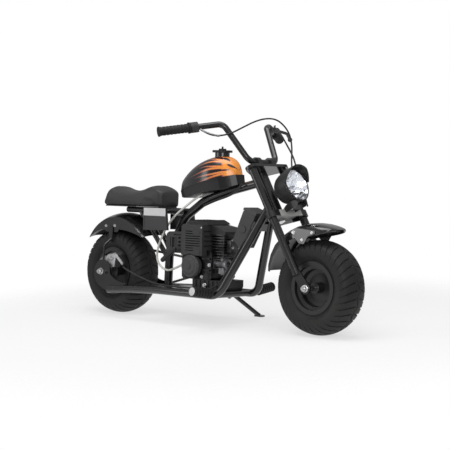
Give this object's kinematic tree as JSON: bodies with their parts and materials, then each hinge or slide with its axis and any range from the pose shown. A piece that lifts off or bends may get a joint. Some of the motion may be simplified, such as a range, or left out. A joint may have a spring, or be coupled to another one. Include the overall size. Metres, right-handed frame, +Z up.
{
  "type": "minibike",
  "caption": "Minibike with fat tyres, rigid forks, a teardrop tank, a long low seat and a small open engine, leaning on its side stand.",
  "frame": {"origin": "on the floor, in the middle of the bike's footprint", "axes": "+X forward along the bike, +Y to its left, +Z up"},
  "size_m": [1.33, 0.6712, 0.7527],
  "materials": {
    "black_cable": "black sleeve",
    "black_plastic": "fine moulded texture",
    "bright_steel": "zinc plated",
    "cast_metal": "cast, lightly soiled",
    "clear_hose": "clear soft plastic",
    "clear_lens": "clear moulded lens",
    "grip_rubber": "matt rubber",
    "painted_frame": "gloss black paint",
    "rim_paint": "satin black paint",
    "seat_vinyl": "grained vinyl",
    "tank_paint": "gloss paint with flames",
    "tyre_rubber": "matt rubber"
  },
  "bodies": {
    "frame": {"head_tube": "painted_frame", "backbone": "painted_frame", "cradle_right": "painted_frame", "cradle_left": "painted_frame", "cross_members": "painted_frame", "rear_dropouts": "painted_frame", "seat_rails": "painted_frame", "seat_stays": "painted_frame", "seat_pan": "painted_frame", "seat_cushion": "seat_vinyl", "side_panels": "painted_frame", "rear_fender": "painted_frame", "fender_stays": "painted_frame", "tank_upper": "tank_paint", "tank_lower": "tank_paint", "fuel_cap": "painted_frame", "engine_block": "cast_metal", "cylinder_fins": "cast_metal", "engine_shroud": "black_plastic", "shroud_cap": "black_plastic", "starter_cover": "black_plastic", "starter_handle": "black_plastic", "air_filter": "black_plastic", "carburettor": "cast_metal", "sump": "black_plastic", "drive_cover": "black_plastic", "drive_sprocket": "bright_steel", "chain": "bright_steel", "battery_box": "painted_frame", "battery_bracket": "painted_frame", "pegs": "grip_rubber", "brake_caliper": "cast_metal", "brake_cable": "black_cable", "fuel_hose": "clear_hose", "wiring_loom": "black_cable", "rear_axle": "bright_steel"},
    "front_wheel": {"front_tyre": "tyre_rubber", "front_rim": "rim_paint"},
    "rear_wheel": {"rear_tyre": "tyre_rubber", "rear_rim": "rim_paint", "brake_disc": "bright_steel", "rear_sprocket": "bright_steel"},
    "steering": {"fork_legs": "painted_frame", "top_plate": "painted_frame", "lower_clamp": "painted_frame", "stem": "bright_steel", "handlebar": "painted_frame", "risers": "painted_frame", "grips": "grip_rubber", "headlamp_bucket": "painted_frame", "headlamp_lens": "clear_lens", "headlamp_bracket": "painted_frame", "front_fender": "painted_frame", "front_axle": "bright_steel", "bar_controls": "black_plastic", "throttle_cable": "black_cable", "lever_cable": "black_cable", "headlamp_visor": "painted_frame", "fender_bracket": "painted_frame"},
    "side_stand": {"side_stand": "painted_frame"}
  },
  "joints": [
    {"name": "steering_turn", "type": "hinge", "parent": "frame", "child": "steering", "pos_m": [0.26419, -0.018, 0.4657], "axis": [-0.512, 0.0674, 0.8563], "range_deg": [-32, 32]},
    {"name": "front_wheel_spin", "type": "hinge", "parent": "steering", "child": "front_wheel", "pos_m": [0.5, -0.04168, 0.1648], "axis": [0, 0.9969, -0.0785], "continuous": true},
    {"name": "rear_wheel_spin", "type": "hinge", "parent": "frame", "child": "rear_wheel", "pos_m": [-0.5, -0.04168, 0.1648], "axis": [0, 0.9969, -0.0785], "continuous": true},
    {"name": "side_stand_fold", "type": "hinge", "parent": "frame", "child": "side_stand", "pos_m": [-0.03, 0.08481, 0.08964], "axis": [-0.107, 0.9615, 0.2532], "range_deg": [0, 100]}
  ]
}
